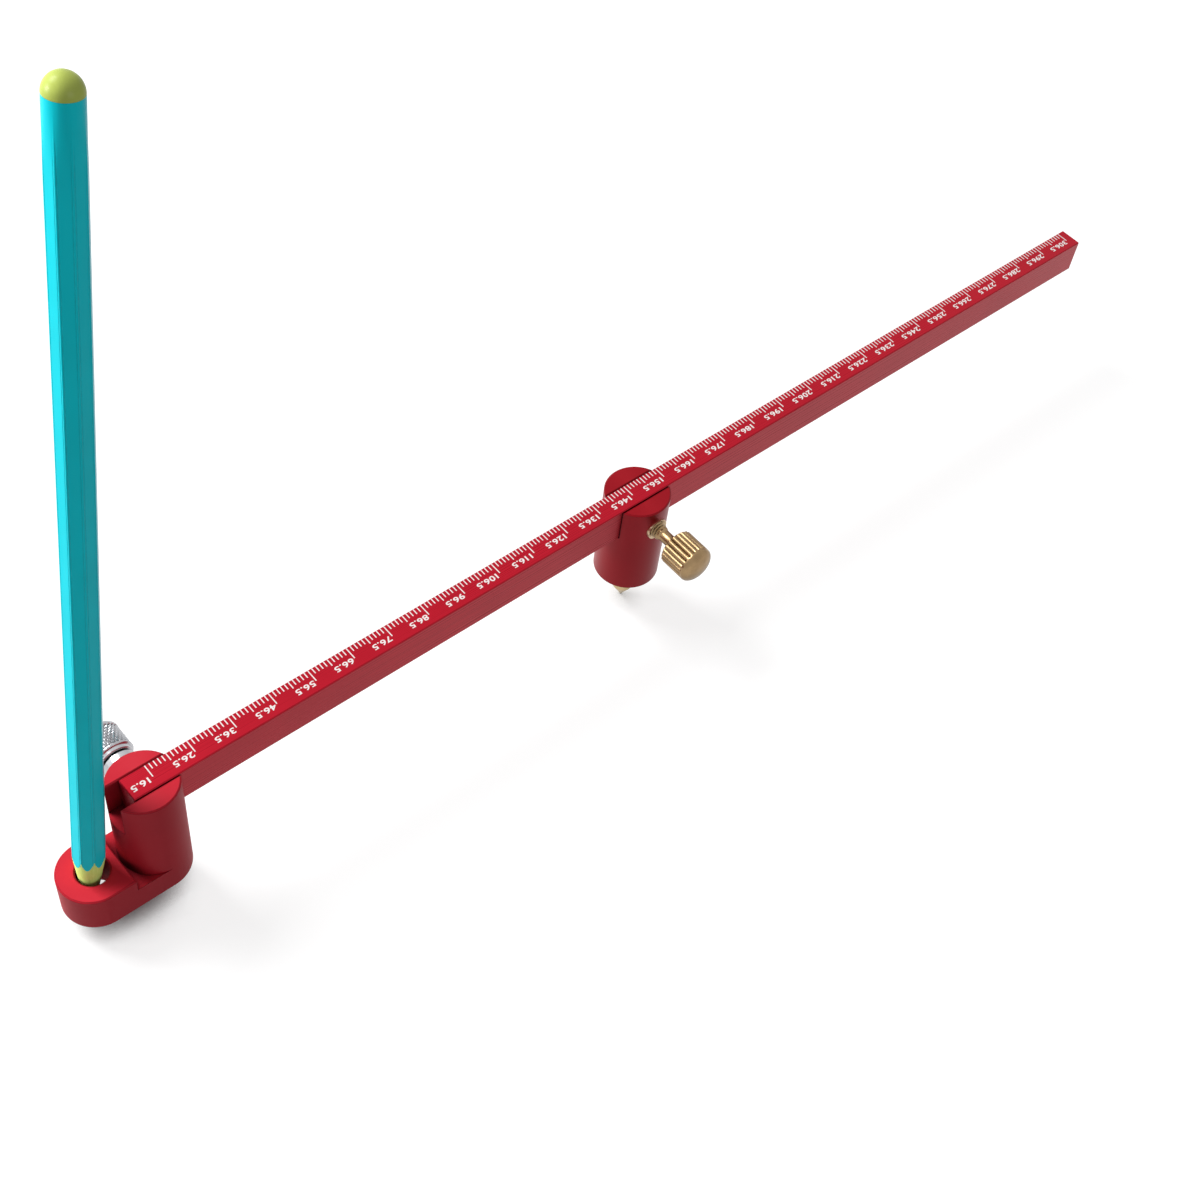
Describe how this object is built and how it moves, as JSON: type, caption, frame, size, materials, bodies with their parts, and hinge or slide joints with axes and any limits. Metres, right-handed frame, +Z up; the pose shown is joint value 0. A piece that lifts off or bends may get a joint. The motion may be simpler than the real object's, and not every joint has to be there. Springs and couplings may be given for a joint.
{
  "type": "beam compass",
  "caption": "Square-bar beam compass: a graduated beam with a pencil foot and tower at one end and a sliding block with a centre point, each held by a thumbscrew.",
  "frame": {"origin": "the point of the drawing sheet that lies on the axis of the pencil hole; the sheet is the plane that the centre point and the pencil touch", "axes": "+X along the beam to its free end, so a mark on the scale stands at the X its number says; +Z up from the sheet; +Y completes the right-handed frame and is the side of the steel thumbscrew"},
  "size_m": [0.3167, 0.044, 0.193],
  "materials": {
    "beam_anodising": "satin red anodising with white printed marks",
    "red_anodising": "satin red anodising, turned",
    "bush_brass": "turned",
    "pad_nylon": "natural nylon",
    "screw_steel": "turned, diamond knurl",
    "screw_brass": "turned, fluted",
    "point_brass": "turned",
    "pencil_wood": "gloss turquoise lacquer, bare wood where it is cut",
    "graphite": "sharpened graphite"
  },
  "bodies": {
    "beam": {"beam": "beam_anodising"},
    "foot": {"pencil_foot": "red_anodising", "foot_thread_bush": "bush_brass"},
    "foot_pad": {"foot_clamp_pad": "pad_nylon"},
    "foot_screw": {"foot_clamp_screw": "screw_steel"},
    "slider": {"slider_block": "red_anodising", "slider_thread_bush": "bush_brass", "centre_point": "point_brass"},
    "slider_pad": {"slider_clamp_pad": "pad_nylon"},
    "slider_screw": {"slider_clamp_screw": "screw_brass"},
    "pencil": {"pencil_casing": "pencil_wood", "pencil_lead": "graphite"}
  },
  "joints": [
    {"name": "slider_travel", "type": "slide", "parent": "beam", "child": "slider", "axis": [1, 0, 0], "range_m": [-0.1165, 0.158]},
    {"name": "foot_setting", "type": "slide", "parent": "beam", "child": "foot", "axis": [1, 0, 0], "range_m": [-0.0015, 0.0015]},
    {"name": "pencil_lift", "type": "slide", "parent": "foot", "child": "pencil", "axis": [0.1659, 0.0942, 0.9816], "range_m": [0, 0.03]},
    {"name": "slider_pad_travel", "type": "slide", "parent": "slider", "child": "slider_pad", "axis": [0, -1, 0], "range_m": [0, 0.00105]},
    {"name": "slider_screw_turn", "type": "hinge", "parent": "slider_pad", "child": "slider_screw", "pos_m": [0.1485, -0.0145, 0.0326], "axis": [0, -1, 0], "range_deg": [0, 540]},
    {"name": "foot_pad_travel", "type": "slide", "parent": "foot", "child": "foot_pad", "axis": [0, 1, 0], "range_m": [0, 0.00105]},
    {"name": "foot_screw_turn", "type": "hinge", "parent": "foot_pad", "child": "foot_screw", "pos_m": [0.01425, 0.0145, 0.0332], "axis": [0, 1, 0], "range_deg": [0, 540]}
  ],
  "couplings": [
    {"joint": "slider_screw_turn", "follows": "slider_pad_travel", "rad_per_m": 8975.9},
    {"joint": "foot_screw_turn", "follows": "foot_pad_travel", "rad_per_m": 8975.9}
  ]
}
